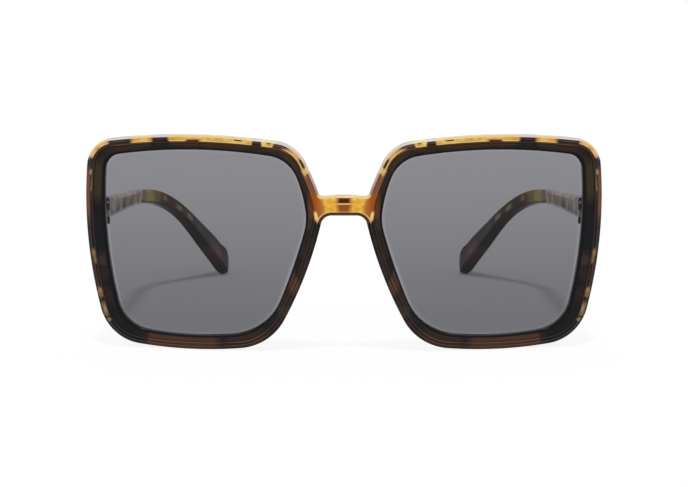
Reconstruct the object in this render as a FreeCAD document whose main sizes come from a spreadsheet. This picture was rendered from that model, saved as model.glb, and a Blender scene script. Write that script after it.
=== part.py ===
import FreeCAD, Part
import math
import os
import Sketcher
from FreeCAD import Placement, Rotation, Vector

# Oversized sunglasses, temples open, standing on the lower rims and the ear tips.
# +X is the wearer's left, the front faces -Y, the temples run back along +Y, +Z is up.
# Millimetres. Heights are above the table and depths behind the foremost point of the front;
# at the end everything is moved so that the origin is under the middle of the whole object.

SIZES = [
    ("front_radius", 280.0, "wrap of the front, seen from above"),
    ("front_depth", 4.4, "front to back of the rims and bridge"),
    ("outer_bevel", 0.6, "bevel along the outside of the front"),
    ("inner_bevel", 2.0, "bevel round each lens opening, seen from the front"),
    ("inner_bevel_depth", 1.2, "bevel round each lens opening, front to back"),
    # Corner circles of the lens opening, from the middle of the bridge
    ("open_top_outer_x", 62.6, "lens opening, upper temple corner"),
    ("open_top_outer_z", 50.4, "lens opening, upper temple corner"),
    ("open_top_outer_r", 4.6, "lens opening, upper temple corner"),
    ("open_top_inner_x", 22.2, "lens opening, upper nose corner"),
    ("open_top_inner_z", 45.3, "lens opening, upper nose corner"),
    ("open_top_inner_r", 9.7, "lens opening, upper nose corner"),
    ("open_nose_x", 25.5, "lens opening, beside the nose"),
    ("open_nose_z", 37.6, "lens opening, beside the nose"),
    ("open_nose_r", 14.9, "lens opening, beside the nose"),
    ("open_low_inner_x", 32.9, "lens opening, lower nose corner"),
    ("open_low_inner_z", 20.5, "lens opening, lower nose corner"),
    ("open_low_inner_r", 16.3, "lens opening, lower nose corner"),
    ("open_low_outer_x", 54.0, "lens opening, lower temple corner"),
    ("open_low_outer_z", 15.3, "lens opening, lower temple corner"),
    ("open_low_outer_r", 10.5, "lens opening, lower temple corner"),
    ("open_brow_side", 144.0, "lens opening, upper side's radius"),
    ("open_arm_side", 38.0, "lens opening, side above the bridge"),
    ("open_nose_side", 168.0, "lens opening, side along the nose"),
    ("open_cheek_side", 100.0, "lens opening, lower side's radius"),
    ("open_temple_side", 124.0, "lens opening, temple side's radius"),
    # Corner circles of the rim's outside, from those of the opening
    ("rim_top_outer_out", 1.8, "rim, upper temple corner, further out"),
    ("rim_top_outer_up", 0.8, "rim, upper temple corner, further up"),
    ("rim_top_outer_wall", 3.6, "rim, upper temple corner, larger radius"),
    ("rim_top_inner_out", -2.1, "rim, upper nose corner, further out"),
    ("rim_top_inner_up", 3.3, "rim, upper nose corner, further up"),
    ("rim_top_inner_wall", 0.7, "rim, upper nose corner, larger radius"),
    ("rim_nose_out", -4.3, "rim, beside the nose, further out"),
    ("rim_nose_up", 1.5, "rim, beside the nose, further up"),
    ("rim_nose_wall", 0.2, "rim, beside the nose, larger radius"),
    ("rim_low_inner_out", -2.3, "rim, lower nose corner, further out"),
    ("rim_low_inner_up", -4.3, "rim, lower nose corner, further up"),
    ("rim_low_inner_wall", -0.6, "rim, lower nose corner, larger radius"),
    ("rim_low_outer_out", 2.7, "rim, lower temple corner, further out"),
    ("rim_low_outer_up", -1.3, "rim, lower temple corner, further up"),
    ("rim_low_outer_wall", 2.5, "rim, lower temple corner, larger radius"),
    ("rim_brow_side", 181.0, "rim, upper side's radius"),
    ("rim_arm_side", 82.0, "rim, side above the bridge"),
    ("rim_nose_side", 113.0, "rim, side along the nose"),
    ("rim_cheek_side", 135.0, "rim, lower side's radius"),
    ("rim_temple_side", 121.0, "rim, temple side's radius"),
    # Bridge
    ("bridge_top", 44.0, "top of the bridge at the middle"),
    ("bridge_crown", 0.6, "fall of the bridge's top to the rims"),
    ("bridge_height", 5.6, "top to underside at the middle"),
    ("bridge_lap", 2.0, "bridge's hold in each rim"),
    ("bridge_top_round", 0.9, "inside corner above the bridge"),
    ("bridge_arch_round", 3.0, "inside corner of the nose arch"),
    # Nose pads
    ("pad_top", 32.0, "upper end of the nose pad's root"),
    ("pad_length", 14.0, "height of the nose pad's root"),
    ("pad_width", 2.6, "thickness of the nose pad at its root"),
    ("pad_edge_width", 1.6, "thickness of the nose pad at its edge"),
    ("pad_inset", 0.4, "nose pad's root behind the rim's edge"),
    ("pad_depth", 4.5, "reach of the nose pad behind the rim"),
    ("pad_splay", 3.0, "degrees that the nose pad leans out"),
    ("pad_taper", 3.5, "how far each end draws in at the edge"),
    ("pad_round", 0.6, "rounding of the nose pad's edge"),
    # Lenses
    ("lens_thickness", 2.0, "lens thickness"),
    ("lens_setback", 1.7, "lens face behind the front's face"),
    ("lens_lap", 0.8, "lens edge's depth in the rim's groove"),
    ("lens_play", 0.05, "room round the lens in its groove"),
    # Hinge place
    ("hinge_inset", 4.4, "hinge pin inboard of the rim's widest place"),
    ("hinge_height", 37.0, "middle of the hinge above the table"),
    ("lug_length", 4.9, "rim's back to the face where the temple starts"),
    ("lug_inside", 0.4, "lug's reach inboard of the hinge pin"),
    ("lug_outside", 3.4, "lug's reach outboard of the hinge pin"),
    ("lug_height", 9.0, "lug, bottom to top"),
    ("lug_round", 1.0, "rounding of the lug's long edges"),
    # Hinge
    ("barrel_radius", 1.25, "hinge barrel"),
    ("barrel_height", 1.9, "one of the three barrels"),
    ("barrel_gap", 0.06, "room between barrels"),
    ("leaf_thickness", 0.9, "hinge leaf"),
    ("front_anchor_length", 4.4, "front leaf's plate in the lug"),
    ("front_anchor_height", 4.6, "front leaf's plate in the lug"),
    ("temple_anchor_length", 8.0, "temple leaf's plate in the temple"),
    ("temple_anchor_height", 3.2, "temple leaf's plate in the temple"),
    ("anchor_play", 0.03, "room round a plate in its slot"),
    ("hinge_relief", 0.2, "room round the barrels"),
    ("screw_radius", 0.6, "hinge screw's shank"),
    ("screw_play", 0.03, "room round the shank"),
    ("head_radius", 1.0, "hinge screw's head"),
    ("head_height", 0.6, "hinge screw's head"),
    ("head_slot_width", 0.32, "screwdriver slot"),
    ("head_slot_depth", 0.32, "screwdriver slot"),
    # Temple
    ("temple_gap", 0.08, "room between lug and temple"),
    ("temple_inside", 1.1, "temple's inner face inboard of the hinge pin"),
    ("temple_rise", 1.65, "temple's middle above the hinge's middle"),
    ("temple_slope", 4.1, "degrees that the temple falls towards the ear"),
    ("temple_joint_height", 6.0, "height at the joint"),
    ("temple_joint_thickness", 4.1, "thickness at the joint"),
    ("temple_neck", 70.0, "length over which the joint end slims down"),
    ("temple_height", 4.8, "height along the straight"),
    ("temple_thickness", 3.5, "thickness along the straight"),
    ("temple_tip_height", 10.2, "height of the ear tip"),
    ("temple_tip_thickness", 4.3, "thickness of the ear tip"),
    ("temple_round", 1.0, "rounding of the temple's long edges"),
    ("bend_start", 84.0, "where the temple starts to bend down"),
    ("bend_length", 36.0, "length of the downward bend"),
    ("bend_angle", 41.7, "degrees of the downward bend"),
    ("turn_start", 71.0, "where the temple starts to turn inward"),
    ("turn_length", 35.5, "length of the inward turn"),
    ("turn_angle", 37.0, "degrees of the inward turn"),
    ("tip_start", 102.0, "where the temple starts to widen to the ear tip"),
    ("tip_growth", 45.0, "length over which the ear tip widens"),
    ("tip_lift", 3.1, "how far the ear tip widens upward rather than evenly"),
    ("tip_round", 4.4, "length of the ear tip's rounded end"),
    ("tip_drop", 3.4, "how far the rounded end narrows to the ear tip's lower side"),
]

CORNERS = ("top_outer", "top_inner", "nose", "low_inner", "low_outer")
SIDES = ("brow", "arm", "nose", "cheek", "temple")

doc = FreeCAD.newDocument("sunglasses")
dims = doc.addObject("Spreadsheet::Sheet", "dims")
for line, (alias, value, note) in enumerate(SIZES, 1):
    dims.set(f"A{line}", note)
    dims.set(f"B{line}", str(value))
    dims.setAlias(f"B{line}", alias)
doc.recompute()


def size(alias):
    return float(dims.get(alias))


def new_body(name):
    return doc.addObject("PartDesign::Body", name)


def new_sketch(body, name, role, offset=0.0):
    sketch = body.newObject("Sketcher::SketchObject", name)
    plane = next(f for f in body.Origin.OriginFeatures if f.Role == role)
    sketch.AttachmentSupport = [(plane, "")]
    sketch.MapMode = "FlatFace"
    sketch.AttachmentOffset = Placement(Vector(0, 0, offset), Rotation())
    return sketch


def bind(sketch, constraint, name, expression):
    """Add a named dimension to a sketch and tie it to the sheet."""
    index = sketch.addConstraint(constraint)
    sketch.renameConstraint(index, name)
    sketch.setExpression(f"Constraints.{name}", expression)


def corner_sizes(prefix, corner):
    """Sizes that add up to a corner circle's across place, height and radius."""
    aliases = [[f"open_{corner}_{kind}"] for kind in ("x", "z", "r")]
    if prefix == "rim":
        for names, kind in zip(aliases, ("out", "up", "wall")):
            names.append(f"rim_{corner}_{kind}")
    return aliases


def outline_arcs(prefix, grow=0.0):
    """Tangent arcs, counterclockwise: a corner circle, then the side that leads to the next."""
    corners = []
    for corner in CORNERS:
        across, height, radius = (sum(size(alias) for alias in aliases)
                                  for aliases in corner_sizes(prefix, corner))
        corners.append((Vector(across, height, 0), radius + grow))
    sides = []
    for index, side in enumerate(SIDES):
        radius = size(f"{prefix}_{side}_side") + grow
        (start, start_radius), (end, end_radius) = corners[index], corners[(index + 1) % len(corners)]
        along = end - start
        gap = along.Length
        along.normalize()
        inward = Vector(-along.y, along.x, 0)
        to_start = radius - start_radius
        to_end = radius - end_radius
        foot = (to_start**2 - to_end**2 + gap**2) / (2 * gap)
        height = math.sqrt(to_start**2 - foot**2)
        sides.append((start + along * foot + inward * height, radius))

    def angle(point, centre):
        return math.atan2(point.y - centre.y, point.x - centre.x)

    arcs = []
    for index, (centre, radius) in enumerate(corners):
        next_centre = corners[(index + 1) % len(corners)][0]
        side_centre, side_radius = sides[index]
        first = angle(centre, sides[index - 1][0])
        middle = angle(centre, side_centre)
        last = angle(next_centre, side_centre)
        arcs.append((centre, radius, first, first + (middle - first) % (2 * math.pi)))
        arcs.append((side_centre, side_radius, middle, middle + (last - middle) % (2 * math.pi)))
    return arcs


def on_arc(angle, first, last):
    return (angle - first) % (2 * math.pi) <= last - first


def rim_reach(degrees):
    """Point of the rim's outside that lies farthest in a direction: 0 out, 180 to the nose, 270 down."""
    angle = math.radians(degrees)
    way = Vector(math.cos(angle), math.sin(angle), 0)
    points = [centre + way * radius for centre, radius, first, last in outline_arcs("rim")
              if on_arc(angle, first, last)]
    return max(points, key=way.dot)


def outline_sketch(body, name, prefix, grow_sizes=()):
    """Closed outline of five corner circles and five sides, grown by the named sizes."""
    sketch = new_sketch(body, name, "XZ_Plane")
    up = Vector(0, 0, 1)
    arcs = outline_arcs(prefix, sum(size(alias) for alias in grow_sizes))
    for centre, radius, first, last in arcs:
        sketch.addGeometry(Part.ArcOfCircle(Part.Circle(centre, up, radius), first, last), False)
    for index in range(len(arcs)):
        sketch.addConstraint(Sketcher.Constraint("Tangent", index, 2, (index + 1) % len(arcs), 1))
    grow = "".join(f" + dims.{alias}" for alias in grow_sizes)
    for index, (centre, radius, first, last) in enumerate(arcs):
        if index % 2:
            side = SIDES[index // 2]
            bind(sketch, Sketcher.Constraint("Radius", index, radius), f"{side}_side",
                 f"dims.{prefix}_{side}_side{grow}")
            continue
        corner = CORNERS[index // 2]
        sums = [" + ".join(f"dims.{alias}" for alias in aliases) for aliases in corner_sizes(prefix, corner)]
        bind(sketch, Sketcher.Constraint("DistanceX", -1, 1, index, 3, centre.x), f"{corner}_x", sums[0])
        bind(sketch, Sketcher.Constraint("DistanceY", -1, 1, index, 3, centre.y), f"{corner}_z", sums[1])
        bind(sketch, Sketcher.Constraint("Radius", index, radius), f"{corner}_r", sums[2] + grow)
    return sketch


def pad(body, name, sketch, length, reverse=False):
    feature = body.newObject("PartDesign::Pad", name)
    feature.Profile = sketch
    feature.Length = length
    feature.Reversed = reverse
    return feature


def pocket_through(body, name, sketch):
    feature = body.newObject("PartDesign::Pocket", name)
    feature.Profile = sketch
    feature.Type = "ThroughAll"
    feature.SideType = "Symmetric"
    return feature


def mirror_in_body(body, name, feature):
    """Repeat a feature on the other side of the middle plane."""
    mirrored = body.newObject("PartDesign::Mirrored", name)
    plane = next(f for f in body.Origin.OriginFeatures if f.Role == "YZ_Plane")
    mirrored.Originals = [feature]
    mirrored.MirrorPlane = (plane, [""])
    body.Tip = mirrored
    return mirrored


def wrap_depth(across, behind):
    """Depth of the surface that lies a given distance behind the wrapped front face."""
    radius = size("front_radius")
    return radius - math.sqrt((radius - behind)**2 - across**2)


def trim_to_wrap(body, face_offset, back_offset):
    """Leave only what lies between two upright cylinders about the axis of the front's wrap."""
    sketch = new_sketch(body, body.Name + "_wrap", "XY_Plane")
    radii = {
        "outside": "dims.front_radius * 1.25",
        "face": f"dims.front_radius - ({face_offset})",
        "back": f"dims.front_radius - ({back_offset})",
    }
    centre = Vector(0, size("front_radius"), 0)
    for index, (name, expression) in enumerate(radii.items()):
        radius = size("front_radius") * (1.25 - 0.25 * index)
        sketch.addGeometry(Part.Circle(centre, Vector(0, 0, 1), radius), False)
        sketch.addConstraint(Sketcher.Constraint("PointOnObject", index, 3, -2))
        bind(sketch, Sketcher.Constraint("DistanceY", -1, 1, index, 3, centre.y), name + "_y",
             "dims.front_radius")
        bind(sketch, Sketcher.Constraint("Radius", index, radius), name + "_r", expression)
    return pocket_through(body, body.Name + "_trim", sketch)


def edge_names(shape, wanted):
    """Names of the given edges in a shape."""
    return [f"Edge{index}" for index, edge in enumerate(shape.Edges, 1)
            if any(edge.isSame(other) for other in wanted)]


def inside_corners(shape, reach, low, high):
    """Sharp edges that run front to back near the middle of a plate, between two heights."""
    found = []
    for edge in shape.Edges:
        start, end = edge.Vertexes[0].Point, edge.Vertexes[-1].Point
        sideways = math.hypot(end.x - start.x, end.z - start.z)
        if sideways > 1e-4 or abs(start.x) > reach or not low < start.z < high:
            continue
        faces = [face for face in shape.Faces if any(edge.isSame(other) for other in face.Edges)]
        normals = [face.normalAt(*face.Surface.parameter(start)) for face in faces]
        if normals[0].getAngle(normals[1]) > math.radians(20):
            found.append(edge)
    return found


def round_corners(body, name, base, edges, alias):
    feature = body.newObject("PartDesign::Fillet", name)
    feature.Base = (base, edge_names(base.Shape, edges))
    feature.setExpression("Radius", f"dims.{alias}")
    return feature


def front_face(shape):
    """The face on the wrapped front, the largest one at the wrap radius."""
    faces = [face for face in shape.Faces if hasattr(face.Surface, "Radius")
             and abs(face.Surface.Radius - size("front_radius")) < 1e-6]
    return max(faces, key=lambda face: face.Area)


def bevel(body, name, base, edges, face_alias, depth_alias):
    """Bevel that takes one size off the front's face and one off the wall behind it."""
    feature = body.newObject("PartDesign::Chamfer", name)
    feature.Base = (base, edge_names(base.Shape, edges))
    feature.ChamferType = "Two distances"
    feature.setExpression("Size", f"dims.{face_alias}")
    feature.setExpression("Size2", f"dims.{depth_alias}")
    return feature


def slot_sketch(body, name, depth, ends, width):
    """Long rounded shape between two end points (across, height), at a depth behind the front."""
    sketch = new_sketch(body, name, "XZ_Plane", -depth)
    start, end = (Vector(*point, 0) for point in ends)
    along = (end - start).normalize()
    side = Vector(-along.y, along.x, 0) * (width / 2)
    cap = along * (width / 2)
    sketch.addGeometry([
        Part.LineSegment(start - side, end - side),
        Part.Arc(end - side, end + cap, end + side),
        Part.LineSegment(end + side, start + side),
        Part.Arc(start + side, start - cap, start - side),
    ], False)
    for index in range(4):
        sketch.addConstraint(Sketcher.Constraint("Coincident", index, 2, (index + 1) % 4, 1))
    return sketch


def nose_line(height):
    """Across place of the rim's nose side at a height."""
    places = []
    for centre, radius, first, last in outline_arcs("rim"):
        if abs(height - centre.y) >= radius:
            continue
        angle = math.pi - math.asin((height - centre.y) / radius)
        if on_arc(angle, first, last):
            places.append(centre.x + radius * math.cos(angle))
    return min(places)


def rounded_box(sketch, width, height, radius):
    """Rectangle with rounded corners about the sketch's origin."""
    x, y = width / 2, height / 2
    lines = [
        (Vector(-x + radius, -y, 0), Vector(x - radius, -y, 0)),
        (Vector(x, -y + radius, 0), Vector(x, y - radius, 0)),
        (Vector(x - radius, y, 0), Vector(-x + radius, y, 0)),
        (Vector(-x, y - radius, 0), Vector(-x, -y + radius, 0)),
    ]
    turn = radius * (1 - math.sqrt(0.5))
    bends = [Vector(x - turn, -y + turn, 0), Vector(x - turn, y - turn, 0),
             Vector(-x + turn, y - turn, 0), Vector(-x + turn, -y + turn, 0)]
    for index, (start, end) in enumerate(lines):
        sketch.addGeometry(Part.LineSegment(start, end), False)
        sketch.addGeometry(Part.Arc(end, bends[index], lines[(index + 1) % 4][0]), False)
    for index in range(8):
        sketch.addConstraint(Sketcher.Constraint("Coincident", index, 2, (index + 1) % 8, 1))


# Front


def front_plate():
    """Both rims, the bridge and the lugs, before the fits are cut."""
    body = new_body("front_plate")
    thickness = wrap_depth(rim_reach(0).x, size("front_depth"))
    rim = pad(body, "rim", outline_sketch(body, "rim_outline", "rim"), thickness, True)
    pad(body, "bridge", bridge_sketch(body), thickness, True)
    doc.recompute()
    joined = mirror_in_body(body, "other_rim", rim)
    doc.recompute()

    reach = rim_reach(180).x + size("bridge_lap")
    middle = size("bridge_top") - size("bridge_height") / 2
    corners = inside_corners(joined.Shape, reach, middle, size("bridge_top"))
    upper = round_corners(body, "bridge_corners", joined, corners, "bridge_top_round")
    doc.recompute()
    arch = inside_corners(upper.Shape, reach, 0, middle)
    round_corners(body, "nose_arch", upper, arch, "bridge_arch_round")
    doc.recompute()
    opening = pocket_through(body, "lens_opening", outline_sketch(body, "opening_outline", "open"))
    doc.recompute()
    mirror_in_body(body, "other_opening", opening)
    doc.recompute()
    wrapped = trim_to_wrap(body, "0", "dims.front_depth")
    doc.recompute()
    rim_edges = front_face(wrapped.Shape).OuterWire.Edges
    outside = bevel(body, "outside_bevel", wrapped, rim_edges, "outer_bevel", "outer_bevel")
    doc.recompute()
    face = front_face(outside.Shape)
    rings = [edge for wire in face.Wires if not wire.isSame(face.OuterWire) for edge in wire.Edges]
    bevel(body, "opening_bevel", outside, rings, "inner_bevel", "inner_bevel_depth")
    doc.recompute()

    mirror_in_body(body, "other_lug", lug(body))
    doc.recompute()
    return body


def bridge_sketch(body):
    sketch = new_sketch(body, "bridge_outline", "XZ_Plane")
    half = rim_reach(180).x + size("bridge_lap")
    top = size("bridge_top")
    shoulder = top - size("bridge_crown")
    low = top - size("bridge_height")
    sketch.addGeometry([
        Part.Arc(Vector(half, shoulder, 0), Vector(0, top, 0), Vector(-half, shoulder, 0)),
        Part.LineSegment(Vector(-half, shoulder, 0), Vector(-half, low, 0)),
        Part.LineSegment(Vector(-half, low, 0), Vector(half, low, 0)),
        Part.LineSegment(Vector(half, low, 0), Vector(half, shoulder, 0)),
    ], False)
    for index in range(4):
        sketch.addConstraint(Sketcher.Constraint("Coincident", index, 2, (index + 1) % 4, 1))
    return sketch


def lug(body):
    """Block behind the temple side of the rim, which carries the hinge."""
    width = size("lug_inside") + size("lug_outside")
    joint = hinge_point(0, 0, 0)
    middle = joint.x + (size("lug_outside") - size("lug_inside")) / 2
    sketch = new_sketch(body, "lug_outline", "XZ_Plane")
    sketch.AttachmentOffset = Placement(Vector(middle, joint.z, -joint.y), Rotation())
    rounded_box(sketch, width, size("lug_height"), size("lug_round"))
    root = wrap_depth(middle, size("front_depth") / 2)
    return pad(body, "lug", sketch, joint.y - root)


def nose_pad(name):
    """Wedge bonded behind the nose side of the rim, leaning outward as it goes back."""
    ends = (size("pad_top"), size("pad_top") - size("pad_length"))
    inset = size("pad_width") / 2 + size("pad_inset")
    root = [(nose_line(height) + inset, height) for height in ends]
    back = wrap_depth(nose_line(sum(ends) / 2), size("front_depth"))
    lean = math.tan(math.radians(size("pad_splay")))
    body = new_body(name + "_wedge")
    depth = size("pad_depth")
    rounding = min(size("pad_round"), size("pad_edge_width") * 0.4)
    sketches = []
    for step, (behind, thinner) in enumerate([(-0.2 * depth, 0), (0.3 * depth, 0), (0.6 * depth, 0),
                                              (depth - rounding, 0), (depth, 2 * rounding)]):
        share = max(behind, 0.0) / depth
        draw = size("pad_taper") * share**2
        shift = behind * lean
        width = size("pad_width") + (size("pad_edge_width") - size("pad_width")) * share - thinner
        points = [(root[0][0] + shift, root[0][1] - draw), (root[1][0] + shift, root[1][1] + draw)]
        sketches.append(slot_sketch(body, f"{name}_section_{step}", back + behind, points, width))
    loft = body.newObject("PartDesign::AdditiveLoft", name + "_loft")
    loft.Profile = sketches[0]
    loft.Sections = sketches[1:]

    # The root is cut to the back of the wrapped front.
    behind_front = doc.addObject("Part::Cylinder", name + "_behind_front")
    behind_front.setExpression("Radius", "dims.front_radius - dims.front_depth")
    behind_front.Height = size("bridge_top")
    behind_front.Placement = Placement(Vector(0, size("front_radius"), 0), Rotation())
    pad_solid = doc.addObject("Part::Common", name)
    pad_solid.Base = body
    pad_solid.Tool = behind_front
    return pad_solid


def wrapped_lens(name, grow_sizes, room):
    """Curved plate in the lens's place, grown for the groove that takes it."""
    body = new_body(name)
    sketch = outline_sketch(body, name + "_outline", "open", grow_sizes)
    pad(body, name + "_plate", sketch, wrap_depth(rim_reach(0).x, size("front_depth")), True)
    trim_to_wrap(body, f"dims.lens_setback - {room}", f"dims.lens_setback + dims.lens_thickness + {room}")
    return body


# Hinges


def box(name, low, high):
    solid = doc.addObject("Part::Box", name)
    solid.Length, solid.Width, solid.Height = high - low
    solid.Placement = Placement(low, Rotation())
    return solid


def pin_cylinder(name, radius_expression, low, high):
    """Upright cylinder on the hinge axis between two heights above the hinge's middle."""
    solid = doc.addObject("Part::Cylinder", name)
    solid.setExpression("Radius", radius_expression)
    solid.Height = high - low
    solid.Placement = Placement(hinge_point(0, 0, low), Rotation())
    return solid


def hinge_point(out, back, rise):
    """Place given from the middle of the hinge pin, which lies on the joint face of the lug."""
    across = rim_reach(0).x - size("hinge_inset")
    joint = wrap_depth(across, size("front_depth")) + size("lug_length")
    return Vector(across + out, joint + back, size("hinge_height") + rise)


def join(kind, name, parts):
    """Fuse several solids, or cut all the others from the first."""
    if kind == "Fuse":
        result = doc.addObject("Part::MultiFuse", name)
        result.Shapes = parts
        return result
    result = doc.addObject("Part::Cut", name)
    result.Base = parts[0]
    result.Tool = parts[1] if len(parts) == 2 else join("Fuse", name + "_tools", parts[1:])
    return result


def barrel_heights():
    """Bottom and top of the three barrels, lowest first, from the hinge's middle."""
    half = size("barrel_height") / 2
    step = size("barrel_height") + size("barrel_gap")
    return [(step * place - half, step * place + half) for place in (-1, 0, 1)]


def hinge_leaf(name, barrels, direction, length, height):
    """Leaf with its barrels on the pin and a plate that runs off in one direction."""
    inner = size("barrel_radius") - size("leaf_thickness")
    outer = size("barrel_radius")
    clear = (size("barrel_radius") + size("hinge_relief")) * direction
    near, far = sorted((clear, length * direction))
    parts = [box(name + "_plate", hinge_point(inner, near, -height / 2),
                 hinge_point(outer, far, height / 2))]
    for index, (low, high) in enumerate(barrels):
        parts.append(pin_cylinder(f"{name}_barrel_{index}", "dims.barrel_radius", low, high))
        web_low, web_high = max(low, -height / 2), min(high, height / 2)
        web_near, web_far = sorted((0, clear))
        parts.append(box(f"{name}_web_{index}", hinge_point(inner, web_near, web_low),
                         hinge_point(outer, web_far, web_high)))
    leaf = join("Fuse", name + "_solid", parts)
    total = barrel_heights()
    bore = pin_cylinder(name + "_bore", "dims.screw_radius + dims.screw_play", total[0][0], total[-1][1])
    return join("Cut", name, [leaf, bore])


def hinge_screw(name):
    """Shank through the three barrels, with a slotted head on the top one."""
    heights = barrel_heights()
    low, top = heights[0][0], heights[-1][1]
    head_top = top + size("head_height")
    shank = pin_cylinder(name + "_shank", "dims.screw_radius", low, top)
    head = pin_cylinder(name + "_head", "dims.head_radius", top, head_top)
    half = size("head_slot_width") / 2
    reach = size("head_radius") * 2
    slot = box(name + "_slot", hinge_point(-half, -reach, head_top - size("head_slot_depth")),
               hinge_point(half, reach, head_top + size("head_slot_depth")))
    return join("Cut", name, [join("Fuse", name + "_blank", [shank, head]), slot])


def hinge_room(name, direction, length, height, reach):
    """Space for the barrels, open to the inside, and the slot for one leaf's plate."""
    relief = size("barrel_radius") + size("hinge_relief")
    play = size("anchor_play")
    inner = size("barrel_radius") - size("leaf_thickness") - play
    outer = size("barrel_radius") + play
    near, far = sorted((0, (length + play) * direction))
    open_near, open_far = sorted((-0.5 * direction, relief * direction))
    return [
        pin_cylinder(name + "_relief", "dims.barrel_radius + dims.hinge_relief", -reach, reach),
        box(name + "_inside", hinge_point(-reach, open_near, -reach), hinge_point(0, open_far, reach)),
        box(name + "_plate_slot", hinge_point(inner, near, -height / 2 - play),
            hinge_point(outer, far, height / 2 + play)),
    ]


# Temple


def ease(place):
    """Smooth step from 0 to 1."""
    place = min(max(place, 0.0), 1.0)
    return place * place * (3 - 2 * place)


def between(place, table):
    """Smooth steps between the (place, value) pairs of a table."""
    for (start, first), (end, last) in zip(table, table[1:]):
        if place <= end:
            return first + (last - first) * ease((place - start) / (end - start))
    return table[-1][1]


def temple_direction(along):
    fall = math.radians(size("temple_slope") + size("bend_angle")
                        * ease((along - size("bend_start")) / size("bend_length")))
    turn = math.radians(size("turn_angle") * ease((along - size("turn_start")) / size("turn_length")))
    return Vector(-math.sin(turn) * math.cos(fall), math.cos(turn) * math.cos(fall), -math.sin(fall))


def tip_rounding(along, length):
    """Share of the full section that the rounded end leaves, from 1 down to 0 at the end."""
    left = min(max((length - along) / size("tip_round"), 0.0), 1.0)
    return math.sqrt(1 - (1 - left)**2)


def temple_section(along, length):
    """Height and thickness of the temple at a distance along it."""
    widest = size("tip_start") + size("tip_growth")
    stages = [(0, "joint_"), (size("temple_neck"), ""), (size("tip_start"), ""), (widest, "tip_")]
    height = between(along, [(place, size(f"temple_{stage}height")) for place, stage in stages])
    thickness = between(along, [(place, size(f"temple_{stage}thickness")) for place, stage in stages])
    rounding = tip_rounding(along, length)
    return height * (0.15 + 0.85 * rounding), thickness * (0.6 + 0.4 * rounding)


def edge_round(height, thickness):
    """Rounding of the temple's long edges, held inside a slim section."""
    return min(size("temple_round"), thickness * 0.42, height * 0.42)


def temple_frames(length, stations):
    """Middle point and turn of the section at each station along the temple."""
    step = 0.25
    middle = hinge_point(size("temple_joint_thickness") / 2 - size("temple_inside"), size("temple_gap"),
                         size("temple_rise"))
    frames = []
    travelled = 0.0
    for station in stations:
        while travelled < station - 1e-9:
            advance = min(step, station - travelled)
            middle = middle + temple_direction(travelled + advance / 2) * advance
            travelled += advance
        tangent = temple_direction(station)
        if station == 0:
            tangent = Vector(0, 1, 0)
        across = (Vector(1, 0, 0) - tangent * tangent.x).normalize()
        rise = across.cross(tangent)
        turn = Rotation(across, rise, tangent * -1, "ZXY")
        lift = size("tip_lift") * ease((station - size("tip_start")) / size("tip_growth"))
        drop = size("tip_drop") * (1 - tip_rounding(station, length))
        frames.append((middle + rise * (lift - drop), turn, across, rise))
    return frames


def temple_stations(length):
    """Where the sections stand: evenly along the arm, then closer round the tip."""
    tip = length - size("tip_round")
    places = [tip * part / 17 for part in range(18)]
    return places + [length - size("tip_round") * part for part in (0.75, 0.5, 0.3, 0.15, 0.05, 0.0)]


def temple_low_point(length):
    """Lowest height that the temple reaches, at its sections and between them."""
    sections = temple_stations(length)
    stations = [start + (end - start) * part / 4 for start, end in zip(sections, sections[1:])
                for part in range(4)] + sections[-1:]
    low = math.inf
    for station, (middle, turn, across, rise) in zip(stations, temple_frames(length, stations)):
        height, thickness = temple_section(station, length)
        radius = edge_round(height, thickness)
        reach = (height / 2 - radius) * abs(rise.z) + (thickness / 2 - radius) * abs(across.z)
        low = min(low, middle.z - reach - radius * math.hypot(rise.z, across.z))
    return low


def temple_length(table):
    """Length at which the ear tip just reaches the table."""
    short = size("bend_start") + size("bend_length")
    long = short + size("hinge_height") * 2
    for attempt in range(40):
        middle = (short + long) / 2
        if temple_low_point(middle) > table:
            short = middle
        else:
            long = middle
    return short


def temple(name, table):
    """Slim side arm, lofted along its path, bent down and inward at the ear."""
    length = temple_length(table)
    body = new_body(name)
    sketches = []
    stations = temple_stations(length)
    for index, (middle, turn, across, rise) in enumerate(temple_frames(length, stations)):
        height, thickness = temple_section(stations[index], length)
        sketch = body.newObject("Sketcher::SketchObject", f"{name}_section_{index}")
        sketch.Placement = Placement(middle, turn)
        rounded_box(sketch, thickness, height, edge_round(height, thickness))
        sketches.append(sketch)
    loft = body.newObject("PartDesign::AdditiveLoft", name + "_loft")
    loft.Profile = sketches[0]
    loft.Sections = sketches[1:]
    print(f"temple length {length:.1f} mm along its middle")
    return body


# Assembly

heights = barrel_heights()
table = rim_reach(270).y
room_reach = size("lug_height")

plate = front_plate()
lens = wrapped_lens("lens_left", ("lens_lap",), "0")
seat = wrapped_lens("lens_seat", ("lens_lap", "lens_play"), "dims.lens_play")
nose = nose_pad("nose_pad_left")
arm = temple("temple_blank", table)

front_leaf = hinge_leaf("front_hinge_leaf_left", [heights[0], heights[2]], -1,
                        size("front_anchor_length"), size("front_anchor_height"))
temple_leaf = hinge_leaf("temple_hinge_leaf_left", [heights[1]], 1,
                         size("temple_anchor_length"), size("temple_anchor_height"))
screw = hinge_screw("hinge_screw_left")
lug_cuts = hinge_room("lug", -1, size("front_anchor_length"), size("front_anchor_height"), room_reach)
lug_room = join("Fuse", "lug_room", lug_cuts)
temple_cuts = hinge_room("temple", 1, size("temple_anchor_length"), size("temple_anchor_height"),
                         room_reach)
temple_left = join("Cut", "temple_left", [arm] + temple_cuts)
doc.recompute()


def mirrored(source, name):
    copy = doc.addObject("Part::Mirroring", name)
    copy.Source = source
    copy.Normal = Vector(1, 0, 0)
    return copy


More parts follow.
